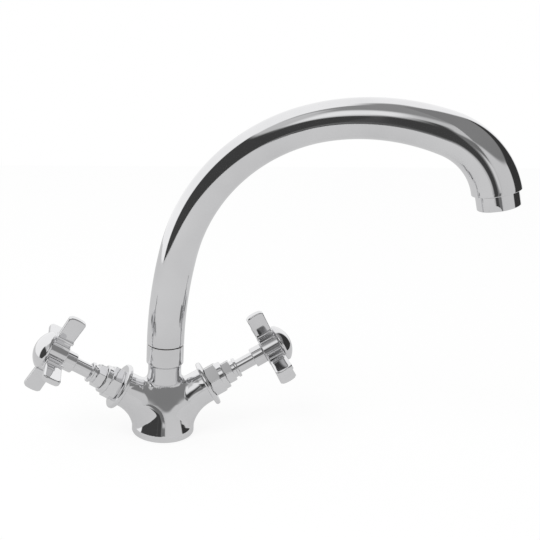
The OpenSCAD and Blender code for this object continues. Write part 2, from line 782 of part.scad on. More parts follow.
body_casting();
deck_seal();
swivel_collar();
slip_washer();
spout_spigot();
spout_seals();
spout_tube();
outlet_ring();
aerator_housing();
aerator_gasket();
aerator_insert();
outlet_grid();
valve_ring(LEFT);  // left_valve_ring
headwork(LEFT);  // left_headwork
gland_nut(LEFT);  // left_gland_nut
spindle(LEFT);  // left_spindle
spindle_seals(LEFT);  // left_spindle_seals
moving_disc(LEFT);  // left_moving_disc
fixed_disc(LEFT);  // left_fixed_disc
seat_seal(LEFT);  // left_seat_seal
ferrule(LEFT);  // left_ferrule
cross_handle(LEFT);  // left_cross_handle
handle_screw(LEFT);  // left_handle_screw
dome_cap(LEFT);  // left_dome_cap
valve_ring(RIGHT);  // right_valve_ring
headwork(RIGHT);  // right_headwork
gland_nut(RIGHT);  // right_gland_nut
spindle(RIGHT);  // right_spindle
spindle_seals(RIGHT);  // right_spindle_seals
moving_disc(RIGHT);  // right_moving_disc
fixed_disc(RIGHT);  // right_fixed_disc
seat_seal(RIGHT);  // right_seat_seal
ferrule(RIGHT);  // right_ferrule
cross_handle(RIGHT);  // right_cross_handle
handle_screw(RIGHT);  // right_handle_screw
dome_cap(RIGHT);  // right_dome_cap
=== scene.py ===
"""Looks of a two-handle kitchen tap: polished casting, swan-neck spout, valves and cross handles.

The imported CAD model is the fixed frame. The classes below build the shaped and polished pieces
round it, in metres, with the handles along X and the user on the -Y side.
"""

from __future__ import annotations

import json
import logging
import math
from dataclasses import asdict, dataclass, field, fields
from enum import Enum
from typing import Iterable, Sequence

import bmesh
import bpy
import numpy as np
from mathutils import Matrix, Vector

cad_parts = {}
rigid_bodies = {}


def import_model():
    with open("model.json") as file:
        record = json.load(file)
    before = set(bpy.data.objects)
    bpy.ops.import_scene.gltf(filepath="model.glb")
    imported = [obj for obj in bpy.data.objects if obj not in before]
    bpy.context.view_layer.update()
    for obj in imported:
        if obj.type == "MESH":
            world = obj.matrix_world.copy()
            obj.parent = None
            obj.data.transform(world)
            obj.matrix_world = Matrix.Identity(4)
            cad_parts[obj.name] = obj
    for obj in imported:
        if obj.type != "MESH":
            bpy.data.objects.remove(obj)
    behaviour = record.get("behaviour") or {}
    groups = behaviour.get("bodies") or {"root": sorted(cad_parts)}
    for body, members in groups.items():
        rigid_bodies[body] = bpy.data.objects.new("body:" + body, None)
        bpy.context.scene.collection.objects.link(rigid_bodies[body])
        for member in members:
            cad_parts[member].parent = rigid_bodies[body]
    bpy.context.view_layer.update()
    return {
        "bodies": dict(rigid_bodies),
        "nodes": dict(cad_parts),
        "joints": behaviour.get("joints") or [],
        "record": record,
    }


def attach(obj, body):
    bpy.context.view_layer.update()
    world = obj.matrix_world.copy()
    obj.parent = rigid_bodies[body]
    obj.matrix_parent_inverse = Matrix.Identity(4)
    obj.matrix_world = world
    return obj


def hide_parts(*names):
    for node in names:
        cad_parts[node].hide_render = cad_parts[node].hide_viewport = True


LOG = logging.getLogger("kitchen_tap")
MM = 0.001
HERE = Matrix.Identity(4)
Piece = bpy.types.Object
Shape = bmesh.types.BMesh
Socket = bpy.types.NodeSocket


def moved(x: float, y: float, z: float) -> Matrix:
    """Matrix of a move in millimetres."""
    return Matrix.Translation((x, y, z))


def turned(degrees: float, axis: str) -> Matrix:
    """Matrix of a turn round an axis."""
    return Matrix.Rotation(math.radians(degrees), 4, axis)


class Side(Enum):
    """The two sides of the tap, as signs along X."""

    LEFT = -1
    RIGHT = 1

    @property
    def prefix(self) -> str:
        """Start of the names of this side's CAD nodes."""
        return self.name.lower() + "_"


class Fuse(Enum):
    """Ways to combine two pieces."""

    JOIN = "UNION"
    CUT = "DIFFERENCE"
    COMMON = "INTERSECT"


@dataclass(frozen=True)
class Placement:
    """Where the arms, handles and outlet sit, in millimetres and degrees."""

    arm_z: float = 18.7
    arm_tilt: float = 29.8
    spout_turn: float = -22.0
    left_rest: float = -14.0
    right_rest: float = 11.0

    def arm(self, side: Side) -> Matrix:
        """Matrix of one arm, its +Z running outwards."""
        return moved(0, 0, self.arm_z) @ turned(side.value * (90 - self.arm_tilt), "Y")

    def handle(self, side: Side) -> Matrix:
        """Matrix of one handle, turned to its rest on the arm."""
        rest = self.left_rest if side is Side.LEFT else self.right_rest
        return self.arm(side) @ turned(rest, "Z")

    def spout(self) -> Matrix:
        """Matrix of the spout's turned plane."""
        return turned(self.spout_turn, "Z")


class Shop:
    """Bench operations that every piece shares. Shapes are made in millimetres."""

    facets: int = 96

    @staticmethod
    def placed(name: str, data: bpy.types.ID) -> Piece:
        """Puts a new object in the scene.

        Args:
            name: Its name.
            data: Its mesh, camera or light.

        Returns:
            The object.
        """
        thing = bpy.data.objects.new(name, data)
        bpy.context.scene.collection.objects.link(thing)
        return thing

    @staticmethod
    def poured(bm: Shape, name: str) -> Piece:
        """Makes an object of a shape, as it is.

        Args:
            bm: The shape; it is freed.
            name: Name of the new object.

        Returns:
            The object.
        """
        mesh = bpy.data.meshes.new(name)
        bm.to_mesh(mesh)
        bm.free()
        return Shop.placed(name, mesh)

    @staticmethod
    def piece(bm: Shape, name: str, place: Matrix = HERE, sharp: float = 38.0) -> Piece:
        """Closes a shape into an object at the origin, with its place in its mesh.

        Args:
            bm: The shape in millimetres; it is freed.
            name: Name of the new object.
            place: Where the shape goes, in millimetres.
            sharp: Angle in degrees past which an edge shades sharp.

        Returns:
            The new object in metres.
        """
        bmesh.ops.transform(bm, matrix=Matrix.Scale(MM, 4) @ place, verts=bm.verts)
        bmesh.ops.remove_doubles(bm, verts=bm.verts, dist=1e-7)
        bmesh.ops.recalc_face_normals(bm, faces=bm.faces)
        return Shop.shaded(Shop.poured(bm, name), sharp)

    @staticmethod
    def shaded(piece: Piece, sharp: float) -> Piece:
        """Shades a piece smooth, and sharp at edges past an angle.

        Args:
            piece: The piece.
            sharp: The angle in degrees.

        Returns:
            The piece.
        """
        piece.data.shade_smooth()
        piece.data.set_sharp_from_angle(angle=math.radians(sharp))
        return piece

    @staticmethod
    def spun(outline: Sequence[tuple[float, float]]) -> Shape:
        """Turns a closed or axis-to-axis outline round Z.

        Args:
            outline: Radius and height of each corner, in order.

        Returns:
            The turned shape.
        """
        bm = bmesh.new()
        verts = [bm.verts.new((r, 0.0, z)) for r, z in outline]
        edges = [bm.edges.new(pair) for pair in zip(verts, verts[1:])]
        if outline[0][0] > 1e-6:
            edges.append(bm.edges.new((verts[-1], verts[0])))
        bmesh.ops.spin(bm, geom=verts + edges, cent=(0, 0, 0), axis=(0, 0, 1), dvec=(0, 0, 0),
                       angle=math.tau, steps=Shop.facets, use_merge=True)
        bmesh.ops.remove_doubles(bm, verts=bm.verts, dist=1e-5)
        bmesh.ops.recalc_face_normals(bm, faces=bm.faces)
        return bm

    @staticmethod
    def rounded(bm: Shape, edges: list[bmesh.types.BMEdge], offset: float, segments: int) -> None:
        """Rounds some edges of a shape.

        Args:
            bm: The shape.
            edges: The edges.
            offset: Width of the rounding in millimetres.
            segments: Facets across the rounding.
        """
        bmesh.ops.bevel(bm, geom=edges, offset=offset, offset_type="OFFSET", segments=segments,
                        profile=0.5, affect="EDGES", clamp_overlap=True, material=-1)

    @staticmethod
    def soften(bm: Shape, offset: float, angle: float = 35.0, segments: int = 3) -> None:
        """Rounds every edge that is sharper than an angle.

        Args:
            bm: The shape.
            offset: Width of the rounding in millimetres.
            angle: Smallest angle between faces, in degrees, that is rounded.
            segments: Facets across the rounding.
        """
        limit = math.radians(angle)
        edges = [e for e in bm.edges if len(e.link_faces) == 2 and e.calc_face_angle() > limit]
        Shop.rounded(bm, edges, offset, segments)

    @staticmethod
    def rod(bm: Shape, radius: float, low: float, high: float, place: Matrix = HERE,
            end: float | None = None, sides: int = 64) -> None:
        """Adds a rod, cone or prism that stands on Z.

        Args:
            bm: The shape that receives the rod.
            radius: Its radius at its lower end.
            low: Height of its lower end.
            high: Height of its upper end.
            place: Where its axis goes.
            end: Its radius at its upper end, where it differs.
            sides: Its facets.
        """
        bmesh.ops.create_cone(bm, cap_ends=True, segments=sides, radius1=radius,
                              radius2=radius if end is None else end, depth=high - low,
                              matrix=place @ moved(0, 0, (low + high) / 2))

    @staticmethod
    def block(bm: Shape, size: Vector, centre: Vector, soft: float) -> None:
        """Adds a rounded block.

        Args:
            bm: The shape that receives the block.
            size: Lengths along X, Y and Z.
            centre: Middle of the block.
            soft: Width of the rounding of its edges.
        """
        part = bmesh.new()
        bmesh.ops.create_cube(part, size=1.0)
        bmesh.ops.scale(part, vec=size, verts=part.verts)
        bmesh.ops.translate(part, vec=centre, verts=part.verts)
        Shop.soften(part, soft)
        Shop.join(bm, part)

    @staticmethod
    def join(bm: Shape, part: Shape) -> None:
        """Copies one shape into another.

        Args:
            bm: The shape that receives the copy.
            part: The shape that is copied; it is freed.
        """
        mesh = bpy.data.meshes.new("joined")
        part.to_mesh(mesh)
        part.free()
        bm.from_mesh(mesh)
        bpy.data.meshes.remove(mesh)

    @staticmethod
    def washer(outer: float, inner: float, low: float, high: float, soft: float) -> Shape:
        """A turned ring with rounded rims.

        Args:
            outer: Its outer radius.
            inner: Its bore's radius.
            low: Height of its lower face.
            high: Height of its upper face.
            soft: Width of the rounding of its rims.

        Returns:
            The ring.
        """
        bm = Shop.spun(((inner, low), (outer, low), (outer, high), (inner, high)))
        Shop.soften(bm, soft, 50.0, 4)
        return bm

    @staticmethod
    def nut(across: float, low: float, high: float, bore: float, turn: float, place: Matrix,
            name: str) -> Piece:
        """A hexagon with rounded corners, both ends turned to a chamfer.

        Args:
            across: Width across its flats.
            low: Height of its lower face.
            high: Height of its upper face.
            bore: Radius of its bore.
            turn: Turn of its corners in degrees.
            place: Where it goes, in millimetres.
            name: Name of the new object.

        Returns:
            The hexagon in metres.
        """
        corner, chamfer = across / math.sqrt(3), 0.045 * across
        face_r, rim_r = corner - 1.7 * chamfer, corner + 0.2
        prism = bmesh.new()
        Shop.rod(prism, corner, low - 1, high + 1, turned(turn + 30, "Z"), sides=6)
        upright = [e for e in prism.edges if abs(e.verts[0].co.z - e.verts[1].co.z) > 1]
        Shop.rounded(prism, upright, 0.5, 4)
        ends = Shop.spun(((bore, low), (face_r, low), (rim_r, low + chamfer), (rim_r, high - chamfer),
                          (face_r, high), (bore, high)))
        return Shop.combined(Shop.piece(prism, name, place), Shop.piece(ends, name + "_chamfers", place),
                             Fuse.COMMON)

    @staticmethod
    def combined(base: Piece, tool: Piece, way: Fuse, sharp: float = 26.0) -> Piece:
        """Joins, cuts or intersects one piece with another.

        Args:
            base: The piece that stays.
            tool: The piece that it is combined with; it is used up.
            way: How they are combined.
            sharp: Angle in degrees past which an edge shades sharp.

        Returns:
            The changed piece.
        """
        step = base.modifiers.new("combined", "BOOLEAN")
        step.object = tool
        step.operation = way.value
        step.solver = "MANIFOLD"
        Shop.applied(base)
        bpy.data.objects.remove(tool)
        return Shop.shaded(base, sharp)

    @staticmethod
    def evened(piece: Piece) -> Piece:
        """Lets large faces lead the shading, so that flats stay flat beside their rounded edges.

        Args:
            piece: The piece.

        Returns:
            The piece.
        """
        even = piece.modifiers.new("evened", "WEIGHTED_NORMAL")
        even.keep_sharp = True
        return Shop.applied(piece)

    @staticmethod
    def applied(piece: Piece) -> Piece:
        """Makes a piece's modifiers part of its mesh.

        Args:
            piece: The piece.

        Returns:
            The piece.
        """
        bpy.context.view_layer.update()
        graph = bpy.context.evaluated_depsgraph_get()
        mesh = bpy.data.meshes.new_from_object(piece.evaluated_get(graph))
        piece.modifiers.clear()
        old = piece.data
        piece.data = mesh
        bpy.data.meshes.remove(old)
        return piece

    @staticmethod
    def open_edges(piece: Piece) -> int:
        """Counts the edges of a piece that don't join two faces.

        Args:
            piece: The piece.

        Returns:
            Their number, none on a closed piece.
        """
        bm = bmesh.new()
        bm.from_mesh(piece.data)
        count = sum(len(edge.link_faces) != 2 for edge in bm.edges)
        bm.free()
        return count


@dataclass(frozen=True)
class Graph:
    """One node tree, with short ways to add, set and join its nodes."""

    tree: bpy.types.NodeTree

    @property
    def given(self) -> bpy.types.NodeOutputs:
        """What a group receives, by name."""
        return self.tree.nodes["in"].outputs

    @classmethod
    def cleared(cls, owner: bpy.types.Material | bpy.types.World) -> Graph:
        """Empties the node tree of a material or a world.

        Args:
            owner: The material or world.

        Returns:
            Its graph.
        """
        owner.use_nodes = True
        owner.node_tree.nodes.clear()
        return cls(owner.node_tree)

    @classmethod
    def group(cls, name: str, inputs: dict[str, float | None], output: str) -> Graph:
        """Starts a node group with one output.

        Args:
            name: Name of the group.
            inputs: Its inputs with their defaults; a place in space has none.
            output: Name of its output.

        Returns:
            The group's graph.
        """
        tree = bpy.data.node_groups.new(name, "ShaderNodeTree")
        for label, default in inputs.items():
            kind = "NodeSocketVector" if default is None else "NodeSocketFloat"
            socket = tree.interface.new_socket(name=label, in_out="INPUT", socket_type=kind)
            if default is None:
                socket.hide_value = True
            else:
                socket.default_value = default
        tree.interface.new_socket(name=output, in_out="OUTPUT", socket_type="NodeSocketFloat")
        tree.nodes.new("NodeGroupInput").name = "in"
        tree.nodes.new("NodeGroupOutput").name = "out"
        return cls(tree)

    def add(self, kind: str, feeds: dict | None = None, **settings: object) -> bpy.types.Node:
        """Adds a shader node.

        Args:
            kind: Name of its type, without its first part.
            feeds: What its inputs receive, by name or number.
            settings: Its properties.

        Returns:
            The node.
        """
        node = self.tree.nodes.new("ShaderNode" + kind)
        for label, value in settings.items():
            setattr(node, label, value)
        self.feed(node, feeds or {})
        return node

    def feed(self, node: bpy.types.Node, feeds: dict) -> None:
        """Sets or joins the inputs of a node.

        Args:
            node: The node.
            feeds: For each input, by name or number, a value, a socket, or a node for its first output.
        """
        for slot, source in feeds.items():
            if isinstance(source, bpy.types.Node):
                source = source.outputs[0]
            if isinstance(source, Socket):
                self.tree.links.new(source, node.inputs[slot])
            else:
                node.inputs[slot].default_value = source

    def sum(self, operation: str, *terms: Socket | float) -> Socket:
        """Result of a sum with sockets and numbers."""
        return self.add("Math", dict(enumerate(terms)), operation=operation).outputs[0]

    def ended(self, result: Socket) -> bpy.types.NodeTree:
        """Joins a socket to the group's output, and gives the finished group."""
        self.tree.links.new(result, self.tree.nodes["out"].inputs[0])
        return self.tree


@dataclass(frozen=True)
class Finish:
    """One finish: both ends of its colour and roughness, and the heights of its relief in metres."""

    name: str
    dark: tuple[float, float, float]
    light: tuple[float, float, float]
    low: float
    high: float
    grain: float
    wave: float = 0.0
    metallic: float = 0.0
    coat: float = 0.0


class Finishes:
    """Makes the finish of each of the record's material slots once, from shared node groups."""

    kinds: dict[str, Finish] = {
        "chrome": Finish("polished chrome", (0.74, 0.74, 0.75), (0.82, 0.82, 0.83), 0.035, 0.075, 4e-7, 2e-5,
                         1.0),
        "brass": Finish("turned brass", (0.55, 0.38, 0.14), (0.72, 0.52, 0.22), 0.22, 0.38, 4e-6, 1e-5, 1.0),
        "rubber": Finish("moulded rubber", (0.012, 0.012, 0.012), (0.03, 0.03, 0.03), 0.55, 0.75, 1e-5),
        "ceramic": Finish("lapped ceramic", (0.74, 0.73, 0.69), (0.84, 0.83, 0.8), 0.1, 0.2, 1e-6, coat=0.4),
        "plastic": Finish("moulded plastic", (0.6, 0.6, 0.59), (0.72, 0.72, 0.71), 0.35, 0.5, 6e-6),
    }
    wave_scale: float = 55.0
    tone_scale: float = 20.0

    def __init__(self) -> None:
        """Prepares the shared groups."""
        self.made: dict[str, bpy.types.Material] = {}
        self.relief = self._relief_group()
        self.smears = self._smears_group()

    @staticmethod
    def _relief_group() -> bpy.types.NodeTree:
        """Surface relief: a slow wave and a fine grain, added into one height.

        Returns:
            The group.
        """
        graph = Graph.group("relief", {"Place": None, "Wave Scale": 60.0, "Wave": 1.0, "Grain Scale": 1500.0,
                                       "Grain": 0.2}, "Height")
        given, parts = graph.given, []
        for label, detail in (("Wave", 1.0), ("Grain", 3.0)):
            noise = graph.add("TexNoise", {"Vector": given["Place"], "Scale": given[label + " Scale"],
                                           "Detail": detail})
            parts.append(graph.sum("MULTIPLY", noise.outputs[0], given[label]))
        return graph.ended(graph.sum("ADD", *parts))

    @staticmethod
    def _smears_group() -> bpy.types.NodeTree:
        """Uneven polish: a value that drifts between two ends, broken by faint wipe marks.

        Returns:
            The group.
        """
        graph = Graph.group("uneven polish", {"Place": None, "Scale": 45.0, "Low": 0.03, "High": 0.08,
                                              "Wipe": 0.25}, "Value")
        given = graph.given
        cloud = graph.add("TexNoise", {"Vector": given["Place"], "Scale": given["Scale"], "Detail": 4.0})
        stretch = graph.add("Mapping", {"Vector": given["Place"], "Scale": (1.0, 1.0, 9.0)})
        wipe = graph.add("TexNoise", {"Vector": stretch, "Scale": given["Scale"], "Detail": 6.0})
        blend = graph.add("Mix", {"Factor": given["Wipe"], "A": cloud, "B": wipe})
        spread = graph.add("MapRange", {"Value": blend, "From Min": 0.3, "From Max": 0.7,
                                        "To Min": given["Low"], "To Max": given["High"]})
        return graph.ended(spread.outputs[0])

    def _material(self, finish: Finish) -> bpy.types.Material:
        """A material whose colour, gloss and relief drift over the surface.

        Args:
            finish: The finish that it shows.

        Returns:
            The material.
        """
        material = bpy.data.materials.new(finish.name)
        material.use_nodes = True
        graph = Graph(material.node_tree)
        place = graph.add("TexCoord").outputs["Object"]
        polish = graph.add("Group", {"Place": place, "Low": finish.low, "High": finish.high},
                           node_tree=self.smears)
        tone = graph.add("Group", {"Place": place, "Scale": self.tone_scale, "Low": 0.0, "High": 1.0,
                                   "Wipe": 0.0}, node_tree=self.smears)
        relief = graph.add("Group", {"Place": place, "Wave Scale": self.wave_scale, "Wave": finish.wave,
                                     "Grain": finish.grain}, node_tree=self.relief)
        ramp = graph.add("Mix", {"Factor": tone}, data_type="RGBA")
        colours = {socket.identifier: socket for socket in [*ramp.inputs, *ramp.outputs]}
        colours["A_Color"].default_value = (*finish.dark, 1.0)
        colours["B_Color"].default_value = (*finish.light, 1.0)
        bump = graph.add("Bump", {"Distance": 1.0, "Height": relief})
        graph.feed(graph.tree.nodes["Principled BSDF"], {
            "Base Color": colours["Result_Color"], "Metallic": finish.metallic, "Coat Weight": finish.coat,
            "Roughness": polish, "Normal": bump})
        return material

    def dress(self, piece: Piece, slot: str) -> None:
        """Gives a piece the finish of a slot.

        Args:
            piece: The piece.
            slot: The record's material slot.
        """
        if slot not in self.made:
            self.made[slot] = self._material(self.kinds[slot])
        piece.data.materials.clear()
        piece.data.materials.append(self.made[slot])


@dataclass
class SpoutTube:
    """The swan-neck tube: four tangent bends, widening towards the outlet."""

    places: Placement
    foot_z: float = 72.6
    tube_r: float = 14.0
    outlet_r: float = 17.8
    flare_from: float = 0.58
    flare_power: float = 1.5
    wall: float = 1.3
    rim_soft: float = 0.5
    bends: tuple[tuple[float, float], ...] = ((350.0, 12.0), (139.0, 63.5), (165.0, 30.5), (52.0, 60.0))
    sides: int = 96
    pace: float = 2.6

    def length(self) -> float:
        """Length of the tube's middle line."""
        return sum(radius * math.radians(turn) for radius, turn in self.bends)

    def radius_at(self, run: float) -> float:
        """Outer radius of the tube at a distance along its middle line."""
        share = max(0.0, (run / self.length() - self.flare_from) / (1 - self.flare_from))
        return self.tube_r + (self.outlet_r - self.tube_r) * share ** self.flare_power

    def outlet(self) -> Matrix:
        """Matrix at the outlet, its +Z running out of the tube.

        Returns:
            The matrix, in millimetres.
        """
        place = moved(0, 0, self.foot_z)
        for bend_r, turn in self.bends:
            place = place @ moved(bend_r, 0, 0) @ turned(turn, "Y") @ moved(-bend_r, 0, 0)
        return self.places.spout() @ place

    def build(self) -> Piece:
        """Spins a ring of edges through the bends and gives the skin its wall.

        Returns:
            The tube.
        """
        bm = bmesh.new()
        ring = bmesh.ops.create_circle(bm, segments=self.sides, radius=self.tube_r)["verts"]
        bmesh.ops.translate(bm, vec=(0, 0, self.foot_z), verts=ring)
        geom: list = [*ring, *bm.edges]
        centre, heading, run, radius = Vector((0, 0, self.foot_z)), math.radians(90), 0.0, self.tube_r
        for bend_r, turn in self.bends:
            angle = math.radians(turn)
            steps = max(2, round(bend_r * angle / self.pace))
            step = angle / steps
            pivot = centre + bend_r * Vector((math.sin(heading), 0, -math.cos(heading)))
            for _ in range(steps):
                spun = bmesh.ops.spin(bm, geom=geom, cent=pivot, axis=(0, 1, 0), dvec=(0, 0, 0), angle=step,
                                      steps=1)
                geom = spun["geom_last"]
                run += bend_r * step
                centre = pivot + Matrix.Rotation(step, 3, "Y") @ (centre - pivot)
                grown = self.radius_at(run)
                ring = [v for v in geom if isinstance(v, bmesh.types.BMVert)]
                bmesh.ops.scale(bm, vec=(grown / radius,) * 3, space=moved(*-centre), verts=ring)
                radius = grown
            heading -= angle
        bmesh.ops.recalc_face_normals(bm, faces=bm.faces)
        bmesh.ops.solidify(bm, geom=bm.faces[:], thickness=self.wall)
        bmesh.ops.recalc_face_normals(bm, faces=bm.faces)
        Shop.soften(bm, self.rim_soft, 50.0)
        return Shop.piece(bm, "swan_neck_tube", self.places.spout())


@dataclass
class BodyCasting:
    """The polished casting: foot, waist and neck, with two arms that grow out of it in one flowing skin."""

    places: Placement
    base_r: float = 23.7
    base_edge: float = 2.0
    base_side: float = 1.5
    arm_r: float = 13.4
    arm_l: float = 37.28
    root_inset: float = 0.4
    root_r: float = 15.4
    neck_top: float = 56.0
    trunk: tuple[tuple[float, float], ...] = (
        (-12.0, 23.7), (5.5, 23.7), (8.0, 22.6), (12.0, 21.3), (18.0, 19.6), (23.0, 18.3), (29.0, 16.6),
        (34.0, 15.4), (38.0, 14.2), (42.0, 12.5), (72.0, 12.5))
    # The hollow between arm and trunk: two heights and its width at each
    hollow_z: tuple[float, float] = (12.0, 28.0)
    hollow_w: tuple[float, float] = (0.5, 8.0)
    flat_y: float = 23.08
    flat_lean: float = 27.0
    flat_low: float = 12.0
    flat_top: float = 42.0
    # Roundings of the flats: at their top, at their foot, along their rim and beside the arms
    flat_soft: tuple[float, float, float, float] = (2.0, 3.0, 1.2, 0.5)
    # Bores: radius, lower end and upper end, the seats' from each arm's end
    neck_bore: tuple[float, float, float] = (9.0, 42.2, 68.2)
    stud_bore: tuple[float, float, float] = (3.4, -1.0, 16.0)
    inlet_bore: tuple[float, float, float] = (4.55, -1.0, 13.0)
    seat_bore: tuple[float, float, float] = (10.2, -17.0, 1.0)
    stud_y: float = 11.0
    inlet_x: float = 9.5
    inlet_y: float = -2.0
    # Seal's groove: inner and outer radius, lower and upper end
    groove: tuple[float, float, float, float] = (17.35, 19.85, -0.5, 2.4)
    voxel: float = 1.1
    heights: np.ndarray = field(init=False)
    radii: np.ndarray = field(init=False)
    bend: Vector = field(init=False)
    under_r: float = field(init=False)

    def __post_init__(self) -> None:
        """Smooths the trunk's outline, and finds the arc that the middle of each arm follows."""
        corners = np.array(self.trunk).T
        self.heights = np.arange(corners[0][0], corners[0][-1], 0.25)
        window = np.hanning(17)
        self.radii = np.convolve(np.interp(self.heights, *corners), window / window.sum(), mode="same")
        tilt = math.radians(self.places.arm_tilt)
        root = self.base_r - self.root_inset
        self.under_r = (root * math.sin(tilt) + (self.places.arm_z - self.base_side) * math.cos(tilt)
                        - self.arm_r) / (1 - math.sin(tilt))
        self.bend = Vector((root + self.under_r, 0.0, self.base_side))

    @staticmethod
    def blend(a: np.ndarray, b: np.ndarray, width: np.ndarray | float) -> np.ndarray:
        """The nearer of two distances, with a rounded hollow of a given width between them."""
        share = np.maximum(width - np.abs(a - b), 0.0) / width
        return np.minimum(a, b) - share * share * width / 4

    def arm_radius(self, ray: np.ndarray) -> np.ndarray:
        """Radius of the arm where a ray from the middle of its bend meets it: it swells towards the foot."""
        share = np.clip((math.pi - ray) / (math.pi / 2 - math.radians(self.places.arm_tilt)), 0.0, 1.0)
        return self.arm_r + (self.root_r - self.arm_r) * (1 - share)

    def arm_distance(self, p: np.ndarray) -> np.ndarray:
        """Distance of points from the nearer arm: up from the foot, round its bend and straight out.

        Args:
            p: Points as rows, in millimetres.

        Returns:
            One distance a point.
        """
        tilt = math.radians(self.places.arm_tilt)
        x, z = np.abs(p[:, 0]) - self.bend.x, p[:, 2] - self.bend.z
        up = np.maximum(z, 0.0)
        radius = self.arm_radius(np.arctan2(up, x))
        bent = np.abs(np.hypot(x, up) - self.under_r - radius)
        out = np.abs(-x * math.sin(tilt) + z * math.cos(tilt) - self.under_r - self.arm_r)
        past = x * math.cos(tilt) + z * math.sin(tilt) > 0
        return np.hypot(np.where(past, out, bent), p[:, 1]) - np.where(past, self.arm_r, radius)

    def distance(self, p: np.ndarray) -> np.ndarray:
        """Distance of points from the casting's skin, negative inside.

        Args:
            p: Points as rows, in millimetres.

        Returns:
            One distance a point.
        """
        height = p[:, 2]
        arm = self.arm_distance(p)
        steepness = np.interp(height, self.heights, np.gradient(self.radii, self.heights))
        trunk = np.hypot(p[:, 0], p[:, 1]) - np.interp(height, self.heights, self.radii)
        trunk /= np.sqrt(1 + steepness ** 2)
        skin = self.blend(arm, trunk, np.interp(height, self.hollow_z, self.hollow_w))
        lean = math.radians(self.flat_lean)
        top_soft, foot_soft, rim_soft, arm_soft = self.flat_soft
        over = height - self.flat_low
        beyond = (np.abs(p[:, 1]) - self.flat_y + over * math.tan(lean)) * math.cos(lean)
        window = self.blend(self.blend(beyond, self.flat_top - height, top_soft), over, foot_soft)
        skin = self.blend(-self.blend(-skin, -window, rim_soft), arm, arm_soft)
        round_r = self.base_edge
        edge = np.hypot(np.maximum(skin + round_r, 0.0), np.maximum(round_r - height, 0.0))
        return np.minimum(np.maximum(skin, -height), -round_r) + edge

    def slope(self, p: np.ndarray) -> np.ndarray:
        """Direction in which the distance grows fastest at each point."""
        h = 0.02
        return np.stack([(self.distance(p + h * axis) - self.distance(p - h * axis)) / (2 * h)
                         for axis in np.eye(3)], axis=1)

    def settle(self, bm: Shape, rounds: int = 3) -> None:
        """Moves every vertex of a shape onto the skin in a few Newton steps.

        Args:
            bm: The shape.
            rounds: Number of steps.
        """
        p = np.array([v.co for v in bm.verts])
        for _ in range(rounds):
            slope = self.slope(p)
            size = np.maximum((slope * slope).sum(axis=1), 0.2)
            p -= np.clip(self.distance(p) / size, -1.5, 1.5)[:, None] * slope
        for vert, point in zip(bm.verts, p):
            vert.co = point

    def rough(self) -> Piece:
        """Balls and cones that fill the casting's form, fused by a voxel remesh.

        Returns:
            The rough form, in millimetres.
        """
        bm = bmesh.new()
        tilt = math.radians(self.places.arm_tilt)
        rays = np.linspace(math.pi, math.pi / 2 + tilt, 16)
        balls = [(self.bend.x + (self.under_r + r) * math.cos(ray),
                  self.bend.z + (self.under_r + r) * math.sin(ray), r)
                 for ray, r in zip(rays, self.arm_radius(rays))]
        x, z, _ = balls[-1]
        balls += [(x + run * math.cos(tilt), z + run * math.sin(tilt), self.arm_r) for run in (2.0, 4.0, 6.0)]
        for side in Side:
            for x, z, r in balls:
                bmesh.ops.create_uvsphere(bm, u_segments=40, v_segments=24, radius=r,
                                          matrix=moved(side.value * x, 0, z))
        for (low, low_r), (high, high_r) in zip(self.trunk, self.trunk[1:]):
            Shop.rod(bm, low_r, low, high, end=high_r)
        form = Shop.poured(bm, "casting_form")
        fuse = form.modifiers.new("fuse", "REMESH")
        fuse.mode = "VOXEL"
        fuse.voxel_size = self.voxel
        return Shop.applied(form)

    @staticmethod
    def _cut(bm: Shape, point: Vector, normal: Vector) -> None:
        """Cuts a shape flat, drops what lies beyond and closes the cut.

        Args:
            bm: The shape.
            point: A point of the cut.
            normal: Direction of what is dropped.
        """
        bmesh.ops.bisect_plane(bm, geom=bm.verts[:] + bm.edges[:] + bm.faces[:], dist=1e-4, plane_co=point,
                               plane_no=normal, clear_outer=True)
        bmesh.ops.holes_fill(bm, edges=[e for e in bm.edges if e.is_boundary])

    def build(self) -> Piece:
        """Settles the fused form on the casting's skin, cuts its ends, drills it and shades it.

        Returns:
            The casting.
        """
        form = self.rough()
        bm = bmesh.new()
        bm.from_mesh(form.data)
        bpy.data.objects.remove(form)
        up = Vector((0, 0, 1))
        self._cut(bm, -0.2 * up, -up)
        foot = max(bm.faces, key=lambda face: face.calc_area())
        for _ in range(3):
            bmesh.ops.inset_individual(bm, faces=[foot], thickness=0.9, use_even_offset=True)
        self.settle(bm, 5)
        for _ in range(4):
            bmesh.ops.smooth_vert(bm, verts=bm.verts, factor=0.5, use_axis_x=True, use_axis_y=True,
                                  use_axis_z=True)
            self.settle(bm)
        bmesh.ops.subdivide_edges(bm, edges=bm.edges, cuts=1, use_grid_fill=True)
        self.settle(bm)
        self._cut(bm, self.neck_top * up, up)
        for side in Side:
            arm = self.places.arm(side)
            self._cut(bm, arm @ (self.arm_l * up), arm.to_3x3() @ up)
        return self._polished(self._drilled(Shop.piece(bm, "body_skin")))

    def _drilled(self, piece: Piece) -> Piece:
        """Drills the neck, the valve seats, the inlets and the stud's hole, and turns the seal's groove.

        Args:
            piece: The casting's skin.

        Returns:
            The drilled casting.
        """
        drills = [(self.neck_bore, HERE), (self.stud_bore, moved(0, self.stud_y, 0))]
        for side in Side:
            drills.append((self.seat_bore, self.places.arm(side) @ moved(0, 0, self.arm_l)))
            drills.append((self.inlet_bore, moved(side.value * self.inlet_x, self.inlet_y, 0)))
        bm = bmesh.new()
        for bore, place in drills:
            Shop.rod(bm, *bore, place)
        inner, outer, low, high = self.groove
        Shop.join(bm, Shop.spun(((inner, low), (outer, low), (outer, high), (inner, high))))
        return Shop.combined(piece, Shop.piece(bm, "drills"), Fuse.CUT, 38.0)

